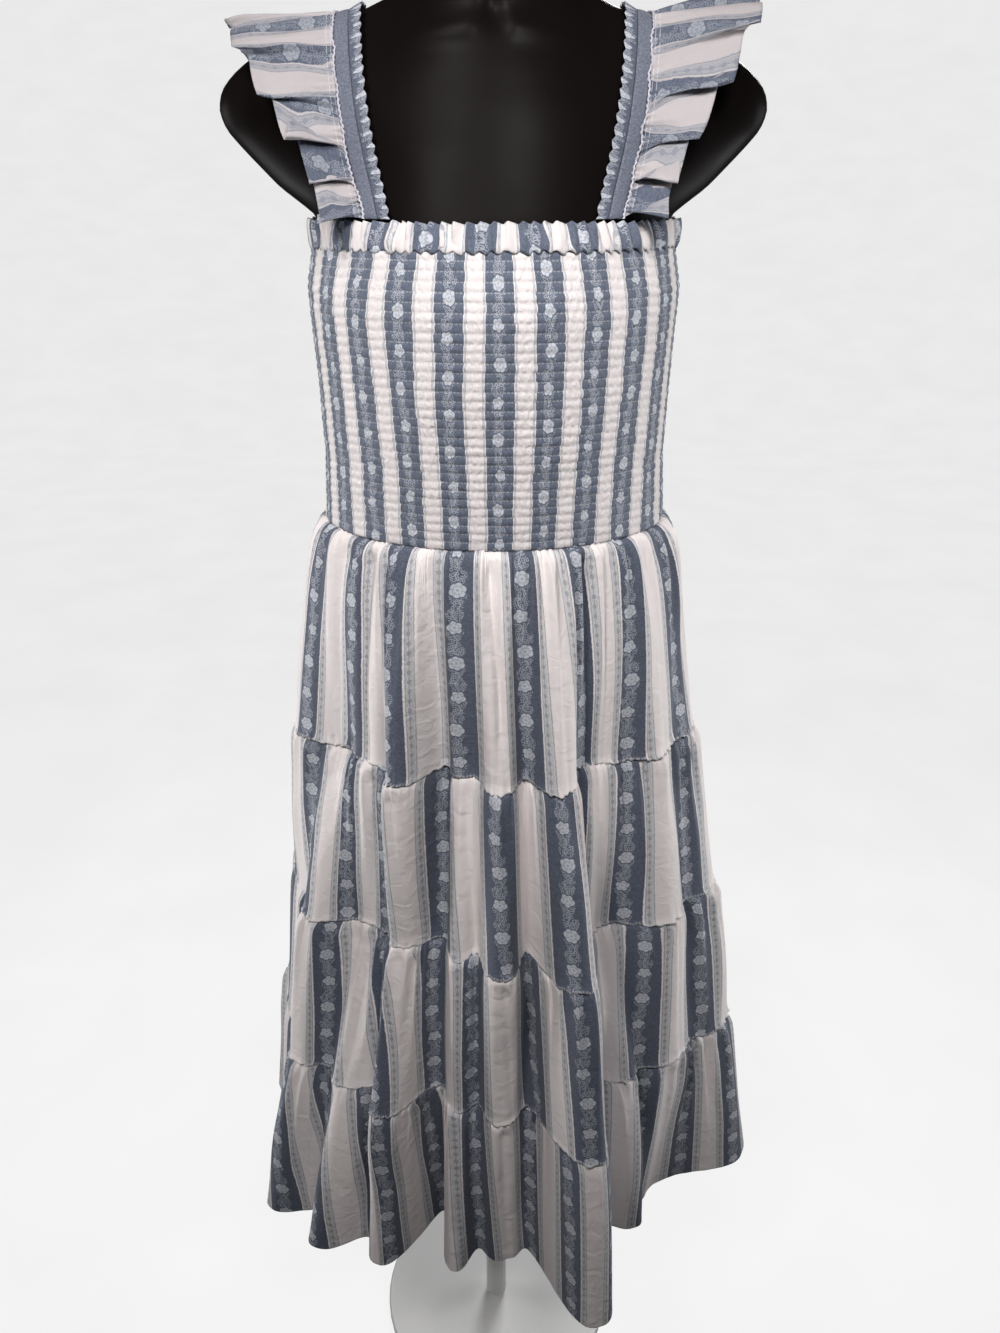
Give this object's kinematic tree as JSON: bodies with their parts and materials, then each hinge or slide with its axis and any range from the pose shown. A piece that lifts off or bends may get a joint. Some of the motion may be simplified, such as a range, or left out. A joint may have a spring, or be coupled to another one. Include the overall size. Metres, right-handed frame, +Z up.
{
  "type": "midi dress on a dress form",
  "caption": "Sleeveless midi dress with shirred bodice, flutter-ruffle straps and gathered tiers, shown on a limbless dress form with a round-based stand.",
  "frame": {"origin": "on the floor, under the middle of the stand's base", "axes": "+Z up, front of the dress faces -Y, +X is the viewer's right when the front is seen"},
  "size_m": [0.5442, 0.493, 1.515],
  "materials": {
    "striped_cotton": "plain woven cotton printed with slate-blue stripes of small pale flowers between off-white stripes",
    "blue_stripe_cotton": "the same cotton cut along its slate-blue stripe",
    "form_plastic": "black moulded plastic, smooth and half glossy",
    "coated_steel": "pale powder-coated steel"
  },
  "bodies": {
    "root": {"neck_band_front": "striped_cotton", "bodice_front": "striped_cotton", "tier_1_front": "striped_cotton", "tier_2_front": "striped_cotton", "tier_3_front": "striped_cotton", "tier_4_front": "striped_cotton", "neck_band_back": "striped_cotton", "bodice_back": "striped_cotton", "tier_1_back": "striped_cotton", "tier_2_back": "striped_cotton", "tier_3_back": "striped_cotton", "tier_4_back": "striped_cotton", "strap_left": "blue_stripe_cotton", "strap_frill_left": "blue_stripe_cotton", "strap_ruffle_left": "striped_cotton", "strap_right": "blue_stripe_cotton", "strap_frill_right": "blue_stripe_cotton", "strap_ruffle_right": "striped_cotton", "form_torso": "form_plastic", "stand_base": "coated_steel", "stand_pole": "coated_steel"}
  },
  "joints": []
}
